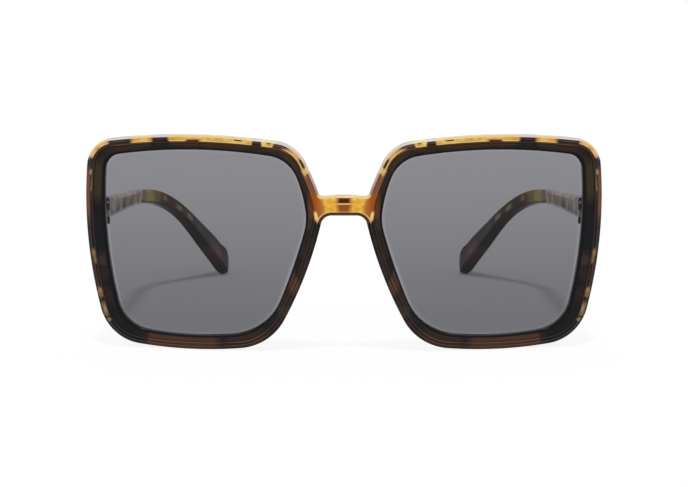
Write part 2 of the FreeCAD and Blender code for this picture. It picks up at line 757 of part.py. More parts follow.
front = join("Cut", "front_frame", [plate, seat, lug_room, mirrored(seat, "other_seat"),
                                    mirrored(lug_room, "other_lug_room")])
parts = {"front_frame": front}
pairs = {"lens": lens, "nose_pad": nose, "temple": temple_left, "front_hinge_leaf": front_leaf,
         "temple_hinge_leaf": temple_leaf, "hinge_screw": screw}
for piece, source in pairs.items():
    parts[piece + "_left"] = source
    parts[piece + "_right"] = mirrored(source, piece + "_right")
doc.recompute()

# The origin goes to the table under the middle of the whole object.
depth = max(part.Shape.optimalBoundingBox(False).YMax for part in parts.values())
shift = Placement(Vector(0, -depth / 2, -table), Rotation())

for item in doc.Objects:
    if "Invalid" in item.State or "Error" in item.State:
        raise RuntimeError(f"{item.Name} failed: {item.State}")
for name, part in parts.items():
    if part.Shape.isNull() or not part.Shape.isValid():
        raise RuntimeError(f"{name} has no valid shape")

pin = hinge_point(0, 0, 0) + shift.Base
print(f"left hinge pin at {pin.x:.3f}, {pin.y:.3f}, {pin.z:.3f}; foremost point at y {shift.Base.y:.3f}")
os.makedirs("parts", exist_ok=True)
for name, part in parts.items():
    part.Label = name
    part.Placement = shift
    part.Shape.exportStep(f"parts/{name}.step")
    box_of = part.Shape.BoundBox
    print(f"{name}: {len(part.Shape.Solids)} solid, {part.Shape.Volume:.1f} mm3, "
          f"x {box_of.XMin:.1f}..{box_of.XMax:.1f} y {box_of.YMin:.1f}..{box_of.YMax:.1f} "
          f"z {box_of.ZMin:.2f}..{box_of.ZMax:.2f}")
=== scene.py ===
import math
import bmesh
import bpy
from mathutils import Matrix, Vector
from mathutils.geometry import delaunay_2d_cdt


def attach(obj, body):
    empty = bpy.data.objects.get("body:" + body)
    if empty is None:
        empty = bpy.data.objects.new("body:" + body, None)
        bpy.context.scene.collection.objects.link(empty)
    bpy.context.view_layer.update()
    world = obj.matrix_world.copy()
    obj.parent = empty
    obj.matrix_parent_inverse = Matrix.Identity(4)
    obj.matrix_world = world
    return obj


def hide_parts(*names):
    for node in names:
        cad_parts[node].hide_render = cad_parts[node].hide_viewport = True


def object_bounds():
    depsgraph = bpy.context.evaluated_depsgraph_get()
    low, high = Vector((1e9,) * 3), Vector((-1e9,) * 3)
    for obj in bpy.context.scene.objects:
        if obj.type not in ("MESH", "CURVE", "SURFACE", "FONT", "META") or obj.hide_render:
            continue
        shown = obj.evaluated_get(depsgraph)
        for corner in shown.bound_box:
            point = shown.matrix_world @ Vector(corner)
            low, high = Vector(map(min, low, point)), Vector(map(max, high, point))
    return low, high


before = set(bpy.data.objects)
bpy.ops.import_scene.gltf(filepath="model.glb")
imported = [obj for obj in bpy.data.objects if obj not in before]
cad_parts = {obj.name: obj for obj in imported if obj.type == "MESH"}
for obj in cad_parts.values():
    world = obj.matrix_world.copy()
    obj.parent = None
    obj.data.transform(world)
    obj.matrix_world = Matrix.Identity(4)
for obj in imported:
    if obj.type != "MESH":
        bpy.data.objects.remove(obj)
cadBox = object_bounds()
scene = bpy.context.scene
scene.view_settings.view_transform = "Standard"
print("frame loaded:", len(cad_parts), "nodes")


# small helpers for node trees

def newMaterial(name):
    material = bpy.data.materials.new(name)
    material.use_nodes = True
    material.node_tree.nodes.clear()
    return material, material.node_tree


def feed(tree, socket, value):
    if isinstance(value, bpy.types.NodeSocket):
        tree.links.new(value, socket)
    else:
        socket.default_value = value


def addNode(tree, kind, inputs=None, **settings):
    node = tree.nodes.new(kind)
    for key, value in settings.items():
        setattr(node, key, value)
    for key, value in (inputs or {}).items():
        feed(tree, node.inputs[key], value)
    return node


def maths(tree, operation, first, second=0.0, clamp=False):
    return addNode(tree, "ShaderNodeMath", {0: first, 1: second}, operation=operation,
                   use_clamp=clamp).outputs[0]


def vectors(tree, operation, first, second):
    return addNode(tree, "ShaderNodeVectorMath", {0: first, 1: second}, operation=operation).outputs[0]


def mixColour(tree, factor, first, second):
    return addNode(tree, "ShaderNodeMix", {0: factor, 6: first, 7: second}, data_type="RGBA").outputs[2]


def spread(tree, value, start, end, low=0.0, high=1.0):
    return addNode(tree, "ShaderNodeMapRange", {0: value, 1: start, 2: end, 3: low, 4: high},
                   interpolation_type="SMOOTHSTEP").outputs[0]


def separate(tree, vector):
    return addNode(tree, "ShaderNodeSeparateXYZ", {0: vector}).outputs


def combine(tree, x, y, z):
    return addNode(tree, "ShaderNodeCombineXYZ", {"X": x, "Y": y, "Z": z}).outputs[0]


def scaled(tree, vector, factor):
    node = addNode(tree, "ShaderNodeVectorMath", {0: vector}, operation="SCALE")
    feed(tree, node.inputs["Scale"], factor)
    return node.outputs[0]


def objectPlace(tree):
    return addNode(tree, "ShaderNodeTexCoord").outputs["Object"]


def attribute(tree, name):
    return addNode(tree, "ShaderNodeAttribute", attribute_name=name).outputs["Fac"]


def noiseAt(tree, place, scale, detail, output="Fac"):
    return addNode(tree, "ShaderNodeTexNoise", {
        "Vector": place, "Scale": scale, "Detail": detail}).outputs[output]


def warp(tree, place, scale, reach):
    noise = noiseAt(tree, place, scale, 2.0, "Color")
    return vectors(tree, "ADD", place, scaled(tree, vectors(tree, "SUBTRACT", noise, (0.5, 0.5, 0.5)), reach))


def rgb(red, green, blue):
    def linear(value):
        value /= 255
        return value / 12.92 if value <= 0.04045 else ((value + 0.055) / 1.055) ** 2.4
    return (linear(red), linear(green), linear(blue), 1.0)


# how finely arcs are traced: spacings in mm, turn in radians
tracing = {"spacing": 0.7, "corner": 0.25, "fine": 0.05, "widestTurn": 0.06, "fewest": 3}
sharpAngle = math.radians(40)

# outline of the front: five corner circles (across, height, radius) and five side radii, in mm
frontPlan = {
    "wrapRadius": 280.0, "depth": 4.4, "foremost": cadBox[0][1] * 1000, "tableLift": -0.021,
    "opening": [(62.6, 50.4, 4.6), (22.2, 45.3, 9.7), (25.5, 37.6, 14.9), (32.9, 20.5, 16.3),
                (54.0, 15.3, 10.5)],
    "openingSides": [144.0, 38.0, 168.0, 100.0, 124.0],
    "rim": [(64.4, 51.2, 8.2), (20.1, 48.6, 10.4), (21.2, 39.1, 15.1), (30.6, 16.2, 15.7),
            (56.7, 14.0, 13.0)],
    "rimSides": [181.0, 82.0, 113.0, 135.0, 121.0],
    "bridgeTop": 44.0, "bridgeCrown": 0.6, "bridgeHeight": 5.6, "bridgeHalf": 8.1,
    "topRound": 0.9, "archRound": 3.0,
    "bevel": 1.2, "bevelDepth": 0.9, "land": 0.9, "facetDepth": 1.2,
}


def outlineArcs(circles, sides, grow=0.0):
    corners = [(Vector(circle[:2]), circle[2] + grow) for circle in circles]
    middles = []
    for index, side in enumerate(sides):
        (start, startRadius), (end, endRadius) = corners[index], corners[(index + 1) % len(corners)]
        along = end - start
        gap = along.length
        along.normalize()
        toStart = side + grow - startRadius
        toEnd = side + grow - endRadius
        foot = (toStart ** 2 - toEnd ** 2 + gap ** 2) / (2 * gap)
        rise = math.sqrt(toStart ** 2 - foot ** 2)
        middles.append((start + along * foot + Vector((-along.y, along.x)) * rise, side + grow))

    def heading(point, centre):
        return math.atan2(point.y - centre.y, point.x - centre.x)

    arcs = []
    for index, (centre, radius) in enumerate(corners):
        following = corners[(index + 1) % len(corners)][0]
        middle, middleRadius = middles[index]
        first = heading(centre, middles[index - 1][0])
        turn = heading(centre, middle)
        last = heading(following, middle)
        arcs.append((centre, radius, first, first + (turn - first) % (2 * math.pi)))
        arcs.append((middle, middleRadius, turn, turn + (last - turn) % (2 * math.pi)))
    return arcs


def arcPoints(centre, radius, first, last, spacing=tracing["spacing"]):
    sweep = abs(last - first)
    steps = max(tracing["fewest"], math.ceil(sweep * radius / spacing),
                math.ceil(sweep / tracing["widestTurn"]))
    points = []
    for step in range(steps):
        angle = first + (last - first) * step / steps
        way = Vector((math.cos(angle), math.sin(angle)))
        points.append((centre + way * radius, way))
    return points


def loopPoints(arcs, spacing=tracing["spacing"]):
    return [point for arc in arcs for point in arcPoints(*arc, spacing)]


def rimWidth(point, way, arcs):
    reaches = []
    for centre, radius, first, last in arcs:
        offset = point - centre
        half = offset.dot(way)
        inside = half ** 2 - offset.length_squared + radius ** 2
        if inside < 0:
            continue
        reach = -half + math.sqrt(inside)
        hit = offset + way * reach
        if (math.atan2(hit.y, hit.x) - first) % (2 * math.pi) <= last - first + 1e-9 and reach > 0:
            reaches.append(reach)
    return min(reaches)


def crossing(points, level):
    # first place where a level changes sign on the nose side of a loop
    noseSide = 12
    for (start, startWay), (end, endWay) in zip(points, points[1:] + points[:1]):
        if start.x < noseSide and level(start) * level(end) <= 0:
            share = level(start) / (level(start) - level(end))
            return start.lerp(end, share), startWay.lerp(endWay, share).normalized()


def cornerRound(centre, radius, startWay, endWay):
    # inside corner: the material lies outside this circle
    first = math.atan2(startWay.y, startWay.x)
    sweep = (math.atan2(endWay.y, endWay.x) - first + math.pi) % (2 * math.pi) - math.pi
    return [(point, -way) for point, way
            in arcPoints(centre, radius, first, first + sweep, tracing["corner"])]


def frontOutline():
    plan = frontPlan
    rimArcs = outlineArcs(plan["rim"], plan["rimSides"])
    rim = loopPoints(rimArcs)[::-1]
    crownRadius = (plan["bridgeHalf"] ** 2 + plan["bridgeCrown"] ** 2) / (2 * plan["bridgeCrown"])
    crown = Vector((0, plan["bridgeTop"] - crownRadius))
    under = plan["bridgeTop"] - plan["bridgeHeight"]
    topRound, archRound = plan["topRound"], plan["archRound"]
    innerHalf = 30

    grown = loopPoints(outlineArcs(plan["rim"], plan["rimSides"], topRound), tracing["fine"])
    high = [point for point in grown if point[0].y > under and point[0].x < innerHalf]
    topCentre, topWay = crossing(high, lambda p: (p - crown).length - crownRadius - topRound)
    grown = loopPoints(outlineArcs(plan["rim"], plan["rimSides"], archRound), tracing["fine"])
    low = [point for point in grown if point[0].y < plan["bridgeTop"] and point[0].x < innerHalf]
    archCentre, archWay = crossing(low, lambda p: p.y - under + archRound)

    topMeet = topCentre - topWay * topRound
    archMeet = archCentre - archWay * archRound
    starts = min(range(len(rim)), key=lambda i: (rim[i][0] - topMeet).length)
    ends = min(range(len(rim)), key=lambda i: (rim[i][0] - archMeet).length)
    rim = rim[starts:] + rim[:starts]
    ends = (ends - starts) % len(rim)

    toCrown = (crown - topCentre).normalized()
    crownEnd = math.atan2(-toCrown.y, -toCrown.x)
    half = arcPoints(crown, crownRadius, math.pi / 2, crownEnd)
    half += cornerRound(topCentre, topRound, toCrown, -topWay)
    half += rim[1:ends]
    half += cornerRound(archCentre, archRound, -archWay, Vector((0, 1)))
    steps = 6
    half += [(Vector((archCentre.x * (1 - step / steps), under)), Vector((0, -1)))
             for step in range(steps + 1)]
    other = [(Vector((-point.x, point.y)), Vector((-way.x, way.y))) for point, way in half[1:-1]]
    return half + other[::-1]


def wrapped(point, behind):
    # a flat place and a depth behind the face, on the wrapped front, in metres
    plan = frontPlan
    inner = plan["wrapRadius"] - behind
    back = plan["wrapRadius"] - math.sqrt(inner ** 2 - point.x ** 2)
    return Vector((point.x, plan["foremost"] + back, point.y + plan["tableLift"])) / 1000


def buildFront():
    plan = frontPlan
    depth, land, facetDepth = plan["depth"], plan["land"], plan["facetDepth"]
    bevel, bevelDepth = plan["bevel"], plan["bevelDepth"]
    mesh = bpy.data.meshes.new("frontShell")
    shell = bmesh.new()
    bandLayer = shell.verts.layers.float.new("band")
    upLayer = shell.verts.layers.float.new("upward")

    def addRing(loop, inset, behind, band):
        # inset may be one number or one for each point; positive goes into the material
        ring = []
        for index, (point, way) in enumerate(loop):
            amount = inset[index] if isinstance(inset, list) else inset
            vert = shell.verts.new(wrapped(point - way * amount, behind))
            vert[bandLayer] = band
            vert[upLayer] = way.y
            ring.append((vert, point - way * amount))
        return ring

    def joinRings(first, second):
        count = len(first)
        for index in range(count):
            following = (index + 1) % count
            shell.faces.new([first[index][0], first[following][0],
                             second[following][0], second[index][0]])

    def fill(outer, holes):
        loops = [outer] + holes
        points = [item for loop in loops for item in loop]
        edges, start = [], 0
        owner = []
        for number, loop in enumerate(loops):
            edges += [(start + i, start + (i + 1) % len(loop)) for i in range(len(loop))]
            owner += [number] * len(loop)
            start += len(loop)
        _, _, faces, origin, _, _ = delaunay_2d_cdt([p for _, p in points], edges, [], 1, 1e-6)
        for face in faces:
            corners = [origin[i][0] for i in face]
            rings = {owner[i] for i in corners}
            if len(rings) == 1 and 0 not in rings:
                continue
            shell.faces.new([points[i][0] for i in corners])

    # band: -1 at the outer back edge, 0 to 1 bevel, 1 to 2 land, 2 to 3 facet, 5 at the inner back edge
    # outside: back edge, wall, bevel up to the land; each step is inset, depth and band
    outside = frontOutline()
    slope = bevelDepth / bevel
    profile = [(0.5, depth, -1.0), (0.22, depth - 0.08, -0.95), (0.06, depth - 0.26, -0.9),
               (0.0, depth - 0.55, -0.85), (0.0, 2.6, -0.5), (0.0, bevelDepth + 0.25, -0.1),
               (0.015, bevelDepth + 0.08, -0.05), (0.07, bevelDepth - 0.04, 0.0),
               (0.16, bevelDepth - 0.16 * slope, 0.13), (0.5, bevelDepth - 0.5 * slope, 0.42),
               (0.9, bevelDepth - 0.9 * slope, 0.75), (bevel - 0.14, 0.14 * slope, 0.88),
               (bevel - 0.05, 0.05, 0.96), (bevel + 0.04, 0.018, 1.03), (bevel + 0.14, 0.0, 1.15)]
    rings = [addRing(outside, *step) for step in profile]
    for first, second in zip(rings, rings[1:]):
        joinRings(first, second)

    # each opening: back edge, wall, facet up to the land
    rimArcs = outlineArcs(plan["rim"], plan["rimSides"])
    opening = loopPoints(outlineArcs(plan["opening"], plan["openingSides"]))
    widths = [rimWidth(point, way, rimArcs) - bevel - land for point, way in opening]
    holes = []
    for side in (1, -1):
        loop = [(Vector((point.x * side, point.y)), Vector((-way.x * side, -way.y)))
                for point, way in opening]
        steps = [(0.45, depth, 5.0), (0.13, depth - 0.13, 4.8), (0.0, depth - 0.45, 4.5), (0.0, 1.9, 3.5),
                 (0.0, facetDepth + 0.14, 3.1), (0.02, facetDepth + 0.04, 3.02),
                 (0.07, facetDepth - 0.03, 2.98)]
        for share in (0.12, 0.3, 0.5, 0.7, 0.86):
            steps.append(([width * share for width in widths], facetDepth * (1 - share), 3 - share))
        steps += [([width - 0.1 for width in widths], 0.075, 2.05),
                  ([width - 0.02 for width in widths], 0.035, 2.01),
                  ([width + 0.06 for width in widths], 0.01, 1.95),
                  ([width + 0.15 for width in widths], 0.0, 1.85)]
        inner = [addRing(loop, *step) for step in steps]
        for first, second in zip(inner, inner[1:]):
            joinRings(first, second)
        holes.append(inner)
    fill(rings[-1], [inner[-1] for inner in holes])
    fill(rings[0], [inner[0] for inner in holes])

    # lugs behind the rims, from the CAD front
    lugs = bmesh.new()
    lugs.from_mesh(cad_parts["front_frame"].data)
    bmesh.ops.remove_doubles(lugs, verts=lugs.verts, dist=1e-6)

    def behindFace(vert):
        x, y = vert.co.x * 1000, vert.co.y * 1000
        return plan["wrapRadius"] - math.hypot(x, y - plan["foremost"] - plan["wrapRadius"])

    slack = 0.03
    spare = [face for face in lugs.faces
             if min(behindFace(vert) for vert in face.verts) < depth - slack
             or max(behindFace(vert) for vert in face.verts) < depth + slack]
    bmesh.ops.delete(lugs, geom=spare, context="FACES")
    made = {}
    for face in lugs.faces:
        for vert in face.verts:
            if vert not in made:
                made[vert] = shell.verts.new(vert.co)
                made[vert][bandLayer] = -1.0
        shell.faces.new([made[vert] for vert in face.verts])
    lugs.free()

    bmesh.ops.recalc_face_normals(shell, faces=shell.faces)
    shell.to_mesh(mesh)
    shell.free()
    mesh.shade_smooth()
    mesh.set_sharp_from_angle(angle=sharpAngle)
    front = bpy.data.objects.new("frontShell", mesh)
    scene.collection.objects.link(front)
    return front


# lens: a flat outline turned into a wrapped plate by a node tree

lensPlan = {"lap": 0.75, "setback": 1.7, "thickness": 2.0, "rings": 24, "around": 220,
            "middle": (38.0, 30.0)}


def lensTree(material):
    tree = bpy.data.node_groups.new("lensPlate", "GeometryNodeTree")
    sockets = {}
    tree.interface.new_socket("Outline", in_out="INPUT", socket_type="NodeSocketGeometry")
    for name, kind in (("Middle", "NodeSocketVector"), ("Wrap radius", "NodeSocketFloat"),
                       ("Foremost", "NodeSocketFloat"), ("Setback", "NodeSocketFloat"),
                       ("Thickness", "NodeSocketFloat"), ("Rings", "NodeSocketInt"),
                       ("Around", "NodeSocketInt")):
        sockets[name] = tree.interface.new_socket(name, in_out="INPUT", socket_type=kind).identifier
    tree.interface.new_socket("Plate", in_out="OUTPUT", socket_type="NodeSocketGeometry")
    given = addNode(tree, "NodeGroupInput").outputs

    # a closed grid: rows run from the middle of the face to the edge and back along the inside
    rows = maths(tree, "MULTIPLY_ADD", given["Rings"], 2.0)
    rows.node.inputs[2].default_value = 1.0
    grid = addNode(tree, "GeometryNodeMeshGrid", {
        "Size X": 1.0, "Size Y": 1.0, "Vertices X": maths(tree, "ADD", given["Around"], 1.0),
        "Vertices Y": maths(tree, "ADD", rows, 1.0)})
    place = separate(tree, grid.outputs["UV Map"])
    row = maths(tree, "MULTIPLY", place["Y"], rows)
    turn = maths(tree, "MULTIPLY", rows, 0.5)
    fromTurn = maths(tree, "ABSOLUTE", maths(tree, "SUBTRACT", row, turn))
    share = maths(tree, "DIVIDE", maths(tree, "SUBTRACT", turn, fromTurn), given["Rings"], clamp=True)
    inside = maths(tree, "GREATER_THAN", row, turn)

    curve = addNode(tree, "GeometryNodeMeshToCurve", {0: given["Outline"]})
    sample = addNode(tree, "GeometryNodeSampleCurve", {"Curves": curve.outputs[0], "Factor": place["X"]},
                     mode="FACTOR", use_all_curves=True)
    spoke = vectors(tree, "SUBTRACT", sample.outputs["Position"], given["Middle"])
    flat = separate(tree, vectors(tree, "ADD", scaled(tree, spoke, share), given["Middle"]))
    length = addNode(tree, "ShaderNodeVectorMath", {0: spoke}, operation="LENGTH").outputs["Value"]
    edge = maths(tree, "MULTIPLY", length, maths(tree, "SUBTRACT", 1.0, share))

    # wrap about an upright axis behind the lens
    behind = maths(tree, "ADD", given["Setback"], maths(tree, "MULTIPLY", inside, given["Thickness"]))
    radius = maths(tree, "SUBTRACT", given["Wrap radius"], behind)
    squares = maths(tree, "SUBTRACT", maths(tree, "POWER", radius, 2.0),
                    maths(tree, "POWER", flat["X"], 2.0))
    back = maths(tree, "SUBTRACT", given["Wrap radius"], maths(tree, "SQRT", squares))
    depth = maths(tree, "ADD", back, given["Foremost"])
    shaped = combine(tree, flat["X"], depth, flat["Z"])

    stored = addNode(tree, "GeometryNodeStoreNamedAttribute",
                     {"Geometry": grid.outputs["Mesh"], "Name": "fromEdge", "Value": edge},
                     data_type="FLOAT", domain="POINT")
    moved = addNode(tree, "GeometryNodeSetPosition", {"Geometry": stored.outputs[0], "Position": shaped})
    closed = addNode(tree, "GeometryNodeMergeByDistance", {
        "Geometry": moved.outputs[0], "Distance": 1e-6})
    smooth = addNode(tree, "GeometryNodeSetShadeSmooth", {"Geometry": closed.outputs[0]})
    real = addNode(tree, "GeometryNodeRealizeInstances", {0: smooth.outputs[0]})
    done = addNode(tree, "GeometryNodeSetMaterial", {"Geometry": real.outputs[0], "Material": material})
    addNode(tree, "NodeGroupOutput", {0: done.outputs[0]})
    return tree, sockets


def buildLens(name, side, tree, sockets):
    arcs = outlineArcs(frontPlan["opening"], frontPlan["openingSides"], lensPlan["lap"])
    points = [Vector((point.x * side, 0, point.y + frontPlan["tableLift"])) / 1000
              for point, _ in loopPoints(arcs)]
    outline = bpy.data.meshes.new(name)
    outline.from_pydata(points, [(i, (i + 1) % len(points)) for i in range(len(points))], [])
    maker = bpy.data.objects.new(name + "Maker", outline)
    scene.collection.objects.link(maker)
    modifier = maker.modifiers.new("lensPlate", "NODES")
    modifier.node_group = tree
    across, height = lensPlan["middle"]
    values = {"Middle": (across * side / 1000, 0.0, height / 1000),
              "Wrap radius": frontPlan["wrapRadius"] / 1000, "Foremost": frontPlan["foremost"] / 1000,
              "Setback": lensPlan["setback"] / 1000, "Thickness": lensPlan["thickness"] / 1000,
              "Rings": lensPlan["rings"], "Around": lensPlan["around"]}
    for key, value in values.items():
        modifier[sockets[key]] = value
    made = maker.evaluated_get(bpy.context.evaluated_depsgraph_get())
    mesh = bpy.data.meshes.new_from_object(made)
    bpy.data.objects.remove(maker)
    shape = bmesh.new()
    shape.from_mesh(mesh)
    bmesh.ops.recalc_face_normals(shape, faces=shape.faces)
    shape.to_mesh(mesh)
    shape.free()
    mesh.set_sharp_from_angle(angle=sharpAngle)
    lens = bpy.data.objects.new(name, mesh)
    scene.collection.objects.link(lens)
    return lens


# tortoise plastic: listed flecks on a dark ground, mirrored about the middle

def fleckGroup():
    tree = bpy.data.node_groups.new("fleckShape", "ShaderNodeTree")
    for name, kind in (("Place", "NodeSocketVector"), ("Centre", "NodeSocketVector"),
                       ("Reach", "NodeSocketVector"), ("Turn", "NodeSocketFloat"),
                       ("Soft", "NodeSocketFloat")):
        tree.interface.new_socket(name, in_out="INPUT", socket_type=kind)
    tree.interface.new_socket("Mask", in_out="OUTPUT", socket_type="NodeSocketFloat")
    given = addNode(tree, "NodeGroupInput").outputs
    offset = vectors(tree, "SUBTRACT", given["Place"], given["Centre"])
    turned = addNode(tree, "ShaderNodeVectorRotate", {"Vector": offset, "Angle": given["Turn"]},
                     rotation_type="Z_AXIS").outputs[0]
    shares = separate(tree, vectors(tree, "DIVIDE", turned, given["Reach"]))
    squareness = 5.0
    powers = [maths(tree, "POWER", maths(tree, "ABSOLUTE", shares[axis]), squareness) for axis in ("X", "Y")]
    reach = maths(tree, "POWER", maths(tree, "ADD", *powers), 1 / squareness)
    low = maths(tree, "ADD", 1.0, given["Soft"])
    high = maths(tree, "SUBTRACT", 1.0, given["Soft"])
    mask = spread(tree, reach, low, high)
    addNode(tree, "NodeGroupOutput", {0: mask})
    return tree


fleckTree = fleckGroup()


def fleckMask(tree, place, flecks):
    # flecks: (across, height, reach along, reach aside, degrees, softness)
    mask = 0.0
    for across, height, along, aside, degrees, soft in flecks:
        fleck = addNode(tree, "ShaderNodeGroup", node_tree=fleckTree)
        values = {"Place": place, "Centre": (across, height, 0), "Reach": (along, aside, 1),
                  "Turn": -math.radians(degrees), "Soft": soft}
        for key, value in values.items():
            feed(tree, fleck.inputs[key], value)
        mask = maths(tree, "MAXIMUM", mask, fleck.outputs[0])
    return mask


polish = {"grain": 0.9, "fine": 14.0, "rough": (0.09, 0.17), "bump": 0.03}


def plasticShader(tree, colour, place, gloss):
    grain = noiseAt(tree, place, polish["grain"], 4.0)
    fine = noiseAt(tree, place, polish["fine"], 2.0)
    rough = spread(tree, grain, 0.3, 0.7, *polish["rough"])
    bump = addNode(tree, "ShaderNodeBump", {
        "Height": fine, "Strength": polish["bump"], "Distance": 0.00002})
    shader = addNode(tree, "ShaderNodeBsdfPrincipled", {
        "Base Color": colour, "Roughness": rough, "Specular IOR Level": gloss,
        "Normal": bump.outputs[0]})
    addNode(tree, "ShaderNodeOutputMaterial", {"Surface": shader.outputs[0]})


frontGloss = 0.1
frontColours = {
    "charcoal": rgb(19, 20, 23), "darkBrown": rgb(42, 30, 26), "olive": rgb(60, 47, 34),
    "brown": rgb(50, 34, 28), "redBrown": rgb(74, 48, 38), "sideRed": rgb(110, 67, 49),
    "armRed": rgb(116, 66, 40), "armPink": rgb(142, 92, 64), "armDark": rgb(82, 42, 18),
    "amber": rgb(190, 142, 60), "amberPale": rgb(230, 190, 112),
    "tan": rgb(120, 92, 58), "tanPale": rgb(160, 130, 88),
    "cornerTan": rgb(196, 142, 88), "cornerPale": rgb(226, 184, 134),
    "gold": rgb(220, 156, 42), "goldPale": rgb(255, 204, 92),
    "orange": rgb(150, 80, 22), "orangePale": rgb(186, 112, 40), "orangeReflectionDark": rgb(66, 32, 2),
    # creamHighlight is a painted highlight; under is painted shade for the bevel that faces down below the
    # bridge
    "creamHighlight": rgb(240, 204, 142), "under": rgb(84, 50, 16), "glow": rgb(68, 40, 16),
    # painted highlight inks for the pale edge that looks up
    "highlightGrey": rgb(208, 198, 192), "highlightCream": rgb(224, 198, 138), "highlightPink": rgb(224, 204, 180),
    # painted highlights for the ridges of the bevel and the facet
    "ridgeHighlight": rgb(92, 70, 60), "line": rgb(122, 84, 62),
    "blackLine": rgb(12, 12, 14), "brownLine": rgb(44, 22, 4),
}

frontFlecks = {
    "charcoal": [(68.2, 36.0, 2.4, 5.6, 0, 0.3), (63.0, 6.3, 7.5, 3.6, 38, 0.4),
                 (25.0, 4.0, 5.0, 3.0, -10, 0.5), (15.0, 24.0, 4.5, 1.8, 68, 0.4),
                 (47.5, 58.5, 3.0, 3.4, 4, 0.4)],
    "amber": [(56.6, 59.6, 2.6, 2.2, 0, 0.35), (37.1, 60.2, 11.7, 2.6, 2.0, 0.03),
              (21.1, 58.9, 1.55, 2.0, 10, 0.2)],
    "armAmber": [(13.4, 55.8, 2.1, 0.9, 44, 0.5), (10.4, 50.9, 0.9, 1.3, 60, 0.35)],
    "cornerTan": [(70.5, 55.7, 1.7, 1.6, -58, 0.35), (68.0, 57.4, 1.9, 1.5, -27, 0.35)],
    "tan": [(71.4, 49.9, 0.4, 0.6, 0, 0.5), (71.1, 46.5, 0.24, 2.2, 0, 0.4),
            (70.7, 26.0, 1.9, 0.7, 75, 0.4), (69.1, 15.6, 1.3, 0.75, 76, 0.4),
            (67.9, 10.9, 1.8, 0.75, 74, 0.4), (66.8, 7.8, 0.6, 0.45, 45, 0.4)],
    "sideRed": [(71.9, 43.5, 1.0, 6.5, 0, 0.4)],
    "redBrown": [(47.0, 2.2, 8.5, 3.4, 0, 0.05), (38.4, 2.2, 2.8, 2.6, 0, 0.7),
                 (14.2, 19.6, 3.4, 1.5, 68, 0.5), (16.6, 57.4, 2.6, 1.6, 22, 0.3)],
    "brown": [(11.5, 48.4, 3.6, 1.1, 62, 0.5), (60.5, 56.6, 4.5, 2.0, 0, 0.6),
              (27.0, 3.4, 5.5, 2.6, -6, 0.6)],
    "armRed": [(8.9, 46.9, 3.8, 2.0, 62, 0.3)],
    "armDark": [(11.3, 53.1, 1.1, 0.6, 55, 0.4)],
    "olive": [(69.0, 47.5, 2.2, 5.2, 0, 0.5), (68.6, 24.7, 1.7, 1.3, 0, 0.5),
              (17.0, 11.4, 1.5, 1.5, 0, 0.5), (14.5, 53.0, 1.2, 3.2, -40, 0.5),
              (9.8, 38.0, 0.9, 3.5, 0, 0.4)],
    "glow": [(15.2, 54.4, 3.2, 1.3, 44, 0.5), (37.1, 57.0, 11.6, 3.4, 1.0, 0.1),
             (56.8, 57.4, 2.8, 3.2, 0, 0.2), (21.1, 56.6, 2.0, 2.6, 10, 0.3)],
    "armLine": [(12.9, 53.9, 4.6, 1.8, 50, 0.25)],
    "orange": [(7.6, 41.0, 3.0, 3.6, 10, 0.25), (0.0, 41.2, 2.2, 4.0, 0, 0.35)],
    "gold": [(3.75, 41.2, 1.75, 4.0, -8, 0.45)],
    # painted reflection: a dark band across the bridge
    "bridgeReflectionBar": [(0.0, 42.65, 1.45, 0.62, 0, 0.22)],
    # painted highlights: lines across the bridge and at the arch corners
    "bridgeHighlightLine": [(0.0, 41.73, 2.2, 0.16, 0, 0.4), (7.75, 38.25, 0.42, 1.2, -12, 0.45)],
    "arch": [(0.0, 39.0, 8.9, 3.2, 0, 0.06)],
    "dark": [(42.0, 58.5, 2.2, 0.9, 0, 0.3), (29.3, 59.3, 1.1, 0.22, 5, 0.3),
             (20.8, 58.6, 0.5, 0.28, 10, 0.3)],
    # where the painted edge highlight turns pink
    "armHighlight": [(9.8, 49.0, 6.5, 2.8, 62, 0.3)],
}


